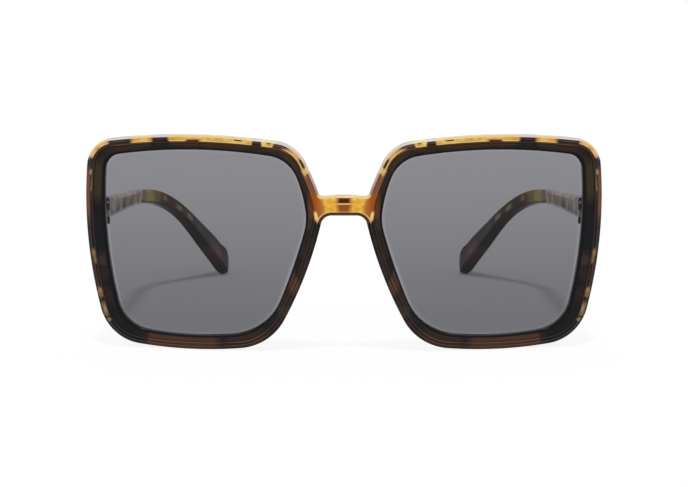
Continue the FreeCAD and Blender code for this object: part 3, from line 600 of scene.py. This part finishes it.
def frontTortoise():
    material, tree = newMaterial("frontTortoise")
    whole = scaled(tree, objectPlace(tree), 1000.0)
    parts = separate(tree, whole)
    across = maths(tree, "ABSOLUTE", parts["X"])
    place = combine(tree, across, parts["Z"], 0.0)
    warped = warp(tree, place, 0.5, 1.2)
    band = attribute(tree, "band")
    upward = attribute(tree, "upward")
    clouds = noiseAt(tree, place, 0.22, 3.0)
    streaks = noiseAt(tree, place, 0.7, 2.0)
    bright = spread(tree, maths(tree, "ADD", clouds, maths(tree, "MULTIPLY", streaks, 0.6)), 0.6, 1.0)
    crisp = ("bridgeReflectionBar", "bridgeHighlightLine", "arch")
    masks = {kind: fleckMask(tree, place if kind in crisp else warped, flecks)
             for kind, flecks in frontFlecks.items()}
    inks = frontColours

    def times(*factors):
        total = factors[0]
        for factor in factors[1:]:
            total = maths(tree, "MULTIPLY", total, factor)
        return total

    def nearBand(level, reach):
        away = maths(tree, "ABSOLUTE", maths(tree, "SUBTRACT", band, level))
        return spread(tree, away, reach, reach * 0.4)

    outer = spread(tree, band, 2.06, 1.98)
    lit = times(spread(tree, band, 1.72, 1.56), maths(tree, "SUBTRACT", 1.0, masks["dark"]))
    below = spread(tree, upward, -0.15, -0.4)
    ground = mixColour(tree, spread(tree, clouds, 0.4, 0.58), inks["charcoal"], inks["darkBrown"])
    ambers = mixColour(tree, bright, inks["amber"], inks["amberPale"])
    browns = maths(tree, "MAXIMUM", masks["redBrown"], masks["brown"])
    layers = [
        (times(masks["charcoal"], 0.9), inks["charcoal"]),
        (times(masks["olive"], 0.8), inks["olive"]),
        (times(masks["glow"], spread(tree, band, 2.7, 2.05)), inks["glow"]),
        (times(masks["brown"], 0.85), inks["brown"]),
        (times(masks["redBrown"], 0.85), inks["redBrown"]),
        (times(masks["sideRed"], spread(tree, band, 1.5, 0.9)), inks["sideRed"]),
        # painted highlight: light lines along the ridges
        (times(nearBand(0.9, 0.16), 0.4), inks["ridgeHighlight"]),
        (times(nearBand(1.9, 0.16), 0.4), inks["ridgeHighlight"]),
        (times(browns, maths(tree, "MAXIMUM", nearBand(0.9, 0.14), nearBand(1.88, 0.18)), 0.6),
         inks["line"]),
        (times(nearBand(1.06, 0.12), 0.7), inks["blackLine"]),
        (times(nearBand(2.07, 0.1), 0.7), inks["blackLine"]),
        (times(masks["armRed"], outer), inks["armRed"]),
        (times(masks["armRed"], nearBand(0.95, 0.16), 0.8), inks["armPink"]),
        (times(masks["armRed"], nearBand(1.6, 0.25), 0.7), inks["armPink"]),
        (times(masks["armRed"], nearBand(0.62, 0.16), 0.8), inks["armDark"]),
        (times(masks["orange"], spread(tree, band, 2.95, 2.3), 0.28), inks["orange"]),
        (times(masks["orange"], outer),
         mixColour(tree, times(spread(tree, across, 8.2, 5.6), spread(tree, across, 2.0, 4.0)),
                   inks["orange"], inks["orangePale"])),
        (times(masks["gold"], outer), mixColour(tree, bright, inks["gold"], inks["goldPale"])),
        # painted reflection: dark band across the bridge
        (masks["bridgeReflectionBar"], inks["orangeReflectionDark"]),
        (times(masks["tan"], lit), mixColour(tree, bright, inks["tan"], inks["tanPale"])),
        (times(masks["cornerTan"], spread(tree, band, 2.0, 1.2), 0.85), inks["armDark"]),
        (times(masks["cornerTan"], spread(tree, band, 1.3, 1.08)),
         mixColour(tree, bright, inks["cornerTan"], inks["cornerPale"])),
        (times(masks["amber"], lit), ambers),
        (times(masks["amber"], nearBand(1.42, 0.2), lit), inks["amberPale"]),
        (times(masks["amber"], nearBand(1.7, 0.12)), inks["brownLine"]),
        (times(masks["armAmber"], outer, 0.85), ambers),
        (times(masks["armDark"], outer), inks["armDark"]),
        (times(masks["armLine"], nearBand(1.32, 0.3)), inks["amberPale"]),
        # painted shade: the bevel that faces down under the bridge is painted dark brown
        (times(masks["arch"], spread(tree, band, 0.9, 0.78), below), inks["under"]),
        # painted highlight: a cream line along the arch edge; the next layer paints cream highlight lines
        # across the bridge
        (times(masks["arch"], nearBand(0.96, 0.18), below, spread(tree, across, 0.8, 3.2, 0.45, 1.0)),
         inks["creamHighlight"]),
        (masks["bridgeHighlightLine"], inks["creamHighlight"]),
        (times(spread(tree, band, 2.62, 2.8), spread(tree, band, 4.2, 3.6)), inks["blackLine"]),
    ]
    colour = ground
    for share, ink in layers:
        colour = mixColour(tree, share, colour, ink)

    # painted highlight: the polished edge that looks up is painted paler than the face, standing in for the
    # reflection of the light overhead
    warm = maths(tree, "MAXIMUM", maths(tree, "MAXIMUM", masks["amber"], masks["cornerTan"]),
                 maths(tree, "MAXIMUM", masks["gold"], masks["orange"]))
    paleHighlight = mixColour(tree, masks["armHighlight"], inks["highlightGrey"], inks["highlightPink"])
    paleHighlight = mixColour(tree, warm, paleHighlight, inks["highlightCream"])
    edge = times(spread(tree, band, 0.54, 0.44), spread(tree, band, -0.3, -0.1),
                 spread(tree, upward, 0.2, 0.55))
    colour = mixColour(tree, edge, colour, paleHighlight)
    plasticShader(tree, colour, whole, frontGloss)
    return material


# ends of each ramp along the temple, in mm from the middle of the object, and the streaks' stretch
templePlan = {"hingeGloss": 0.6, "earGloss": 0.28, "glossEnds": (24.0, 44.0),
              "streakEnds": (48.0, 28.0), "lowShadeEnds": (50.0, 30.0),
              "streakStretch": (0.15, 0.1, 1.0), "glance": (0.7, 0.87)}
templeColours = {
    # the streak inks carry a painted reflection of the white around the temple
    "charcoal": rgb(38, 35, 38), "brown": rgb(96, 68, 56), "streakPaleReflection": rgb(252, 230, 216),
    "streakDarkReflection": rgb(150, 116, 106), "amber": rgb(234, 202, 108), "tan": rgb(176, 146, 108),
    # low is painted shade for the lower edge
    "red": rgb(132, 76, 74), "low": rgb(24, 22, 23),
    "facePale": rgb(136, 86, 46), "faceDark": rgb(40, 30, 26),
}

templeFlecks = {
    "amber": [(33.6, 32.4, 4.0, 2.8, -20, 0.9)],
    "tan": [(41.4, 30.8, 0.9, 0.8, -30, 0.6), (47.0, 26.6, 1.5, 1.1, -40, 0.5),
            (52.0, 22.8, 1.4, 1.1, -40, 0.5)],
    "brown": [(41.0, 28.5, 10.0, 4.5, -35, 0.6), (56.0, 18.5, 2.0, 1.5, -45, 0.5)],
    "red": [(62.9, 9.5, 3.4, 2.2, -50, 0.8)],
}


def templeTortoise():
    material, tree = newMaterial("templeTortoise")
    whole = scaled(tree, objectPlace(tree), 1000.0)
    parts = separate(tree, whole)
    warped = warp(tree, combine(tree, parts["Y"], parts["Z"], 0.0), 0.4, 2.5)
    bars = noiseAt(tree, vectors(tree, "MULTIPLY", warped, templePlan["streakStretch"]), 1.0, 2.0)
    masks = {kind: fleckMask(tree, warped, flecks) for kind, flecks in templeFlecks.items()}
    inks = templeColours
    # painted reflection: seen along its length the polished side is painted pale, standing in for the white
    # around it that it reflects
    glance = addNode(tree, "ShaderNodeLayerWeight", {"Blend": 0.5}).outputs["Facing"]
    glance = spread(tree, glance, *templePlan["glance"])
    darkInk = mixColour(tree, glance, inks["faceDark"], inks["streakDarkReflection"])
    paleInk = mixColour(tree, glance, inks["facePale"], inks["streakPaleReflection"])
    streaked = mixColour(tree, spread(tree, bars, 0.43, 0.56), darkInk, paleInk)
    along = separate(tree, warped)["X"]
    zone = spread(tree, along, *templePlan["streakEnds"])
    colour = mixColour(tree, zone, inks["charcoal"], streaked)
    shares = {"brown": 0.6, "red": 1.0, "tan": 1.0, "amber": spread(tree, bars, 0.36, 0.56, 0.6, 1.0)}
    for kind, share in shares.items():
        colour = mixColour(tree, maths(tree, "MULTIPLY", masks[kind], share), colour, inks[kind])

    # towards the hinge the lower edge, which faces down, is painted darker as painted shade, and the polish
    # is stronger
    facing = addNode(tree, "ShaderNodeNewGeometry").outputs["Normal"]
    upright = separate(tree, facing)["Z"]
    shadedLowerEdge = maths(tree, "MULTIPLY", spread(tree, upright, -0.2, -0.7),
                  spread(tree, along, *templePlan["lowShadeEnds"]))
    colour = mixColour(tree, shadedLowerEdge, colour, inks["low"])
    gloss = spread(tree, along, *templePlan["glossEnds"], templePlan["hingeGloss"], templePlan["earGloss"])
    plasticShader(tree, colour, whole, gloss)
    return material


# low, high and edge: share of the light that each face of the lens lets through; heights in metres. Low down
# the tint is darker, as painted shade, and along the edge lighter, as a painted highlight
lensLook = {"low": (0.395, 0.393, 0.408, 1), "high": (0.49, 0.485, 0.5, 1),
            "edge": (0.52, 0.512, 0.545, 1), "heights": (0.0, 0.058),
            "highlightReach": (0.0019, 0.0009), "highlightHeights": (0.004, 0.02),
            "index": 1.25, "roughness": 0.02}


def lensTint():
    material, tree = newMaterial("lensTint")
    edge = attribute(tree, "fromEdge")
    height = separate(tree, objectPlace(tree))["Z"]
    # painted shade: the tint darkens towards the bottom of the lens
    tint = mixColour(tree, spread(tree, height, *lensLook["heights"]), lensLook["low"], lensLook["high"])
    # painted highlight: a lighter band along the lens edge
    rim = maths(tree, "MULTIPLY", spread(tree, edge, *lensLook["highlightReach"]),
                spread(tree, height, *lensLook["highlightHeights"], 0.4, 1.0))
    tint = mixColour(tree, rim, tint, lensLook["edge"])
    clear = addNode(tree, "ShaderNodeBsdfTransparent", {"Color": tint})
    gloss = addNode(tree, "ShaderNodeBsdfGlossy", {
        "Color": (1, 1, 1, 1), "Roughness": lensLook["roughness"]})
    # only the outside of each face shines
    fresnel = addNode(tree, "ShaderNodeFresnel", {"IOR": lensLook["index"]}).outputs[0]
    backs = addNode(tree, "ShaderNodeNewGeometry").outputs["Backfacing"]
    shine = maths(tree, "MULTIPLY", fresnel, maths(tree, "SUBTRACT", 1.0, backs))
    mixed = addNode(tree, "ShaderNodeMixShader", {0: shine, 1: clear.outputs[0], 2: gloss.outputs[0]})
    addNode(tree, "ShaderNodeOutputMaterial", {"Surface": mixed.outputs[0]})
    return material


brushing = {"stretch": (600.0, 600.0, 6000.0), "rough": (0.24, 0.42), "bump": 0.1}


def hingeMetal(name, low, high):
    material, tree = newMaterial(name)
    brushed = noiseAt(tree, vectors(tree, "MULTIPLY", objectPlace(tree), brushing["stretch"]), 1.0, 3.0)
    rough = spread(tree, brushed, 0.3, 0.7, *brushing["rough"])
    colour = mixColour(tree, brushed, (low, low, low, 1), (high, high, high, 1))
    bump = addNode(tree, "ShaderNodeBump", {
        "Height": brushed, "Strength": brushing["bump"], "Distance": 0.00002})
    shader = addNode(tree, "ShaderNodeBsdfPrincipled", {
        "Base Color": colour, "Metallic": 1.0, "Roughness": rough, "Normal": bump.outputs[0]})
    addNode(tree, "ShaderNodeOutputMaterial", {"Surface": shader.outputs[0]})
    return material


frontFinish = frontTortoise()
templeFinish = templeTortoise()
steelFinish = hingeMetal("hingeSteel", 0.42, 0.68)
darkSteelFinish = hingeMetal("hingeDarkSteel", 0.03, 0.07)
lensFinish = lensTint()
print("materials made")

front = buildFront()
front.data.materials.append(frontFinish)
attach(front, "front")
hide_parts("front_frame")
print("front made:", len(front.data.polygons), "faces")

plateTree, plateSockets = lensTree(lensFinish)
for name, side in (("lens_left", 1), ("lens_right", -1)):
    lens = buildLens("lensPlate." + name.split("_")[1], side, plateTree, plateSockets)
    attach(lens, "front")
    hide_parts(name)
    print(name, "made:", len(lens.data.polygons), "faces")

kept = {"nose_pad": frontFinish, "temple": templeFinish, "front_hinge_leaf": darkSteelFinish,
        "temple_hinge_leaf": steelFinish, "hinge_screw": steelFinish}
for piece, finish in kept.items():
    for side in ("left", "right"):
        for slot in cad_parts[piece + "_" + side].material_slots:
            slot.material = finish
print("CAD pieces dressed")


# floor, light and camera

floorPlan = {"reach": 30.0, "paper": (0.96, 0.96, 0.96, 1),
             "whiteNear": 0.88, "whiteFar": 0.36, "near": -0.03, "far": 0.004}


def seenDirectly(tree):
    ray = addNode(tree, "ShaderNodeLightPath").outputs
    seen = maths(tree, "MAXIMUM", ray["Is Camera Ray"], ray["Is Glossy Ray"])
    return maths(tree, "MAXIMUM", seen, ray["Is Transmission Ray"])


def makeFloor():
    reach = floorPlan["reach"]
    mesh = bpy.data.meshes.new("floor")
    mesh.from_pydata([(-reach, -reach, 0), (reach, -reach, 0), (reach, reach, 0), (-reach, reach, 0)],
                     [], [(0, 1, 2, 3)])
    floor = bpy.data.objects.new("floor", mesh)
    scene.collection.objects.link(floor)
    material, tree = newMaterial("floorPaper")
    paper = addNode(tree, "ShaderNodeBsdfDiffuse", {"Color": floorPlan["paper"]})
    glow = addNode(tree, "ShaderNodeEmission", {"Color": (1, 1, 1, 1), "Strength": 1.0})
    depth = separate(tree, objectPlace(tree))["Y"]
    white = spread(tree, depth, floorPlan["near"], floorPlan["far"],
                   floorPlan["whiteNear"], floorPlan["whiteFar"])
    share = maths(tree, "MULTIPLY", seenDirectly(tree), white)
    mixed = addNode(tree, "ShaderNodeMixShader", {0: share, 1: paper.outputs[0], 2: glow.outputs[0]})
    addNode(tree, "ShaderNodeOutputMaterial", {"Surface": mixed.outputs[0]})
    mesh.materials.append(material)


worldPlan = {"soft": 0.65, "white": 1.0}


def makeWorld():
    world = bpy.data.worlds.new("studio")
    scene.world = world
    world.use_nodes = True
    tree = world.node_tree
    tree.nodes.clear()
    soft = addNode(tree, "ShaderNodeBackground", {"Color": (1, 1, 1, 1), "Strength": worldPlan["soft"]})
    white = addNode(tree, "ShaderNodeBackground", {
        "Color": (1, 1, 1, 1), "Strength": worldPlan["white"]})
    mixed = addNode(tree, "ShaderNodeMixShader", {0: seenDirectly(tree), 1: soft.outputs[0],
                                                  2: white.outputs[0]})
    addNode(tree, "ShaderNodeOutputWorld", {"Surface": mixed.outputs[0]})


lampPlan = {"overhead": {"tilt": (12.0, 0.0), "spread": 9.0, "power": 1.45}}


def makeLamps():
    for name, plan in lampPlan.items():
        lamp = bpy.data.lights.new(name, "SUN")
        lamp.angle = math.radians(plan["spread"])
        lamp.energy = plan["power"]
        holder = bpy.data.objects.new(name, lamp)
        holder.location = (0, 0, 1)
        holder.rotation_euler = (math.radians(plan["tilt"][0]), math.radians(plan["tilt"][1]), 0)
        scene.collection.objects.link(holder)


cameraPlan = {"distance": 0.47, "height": 0.0957, "pitch": 7.874, "lens": 89.29}


def makeCamera():
    camera = bpy.data.cameras.new("camera")
    camera.sensor_fit = "HORIZONTAL"
    camera.sensor_width = 36.0
    camera.lens = cameraPlan["lens"]
    camera.clip_start = 0.01
    holder = bpy.data.objects.new("camera", camera)
    holder.location = (0, cadBox[0][1] - cameraPlan["distance"], cameraPlan["height"])
    holder.rotation_euler = (math.radians(90 - cameraPlan["pitch"]), 0, 0)
    scene.collection.objects.link(holder)
    scene.camera = holder


makeFloor()
makeWorld()
makeLamps()
makeCamera()
print("studio made")
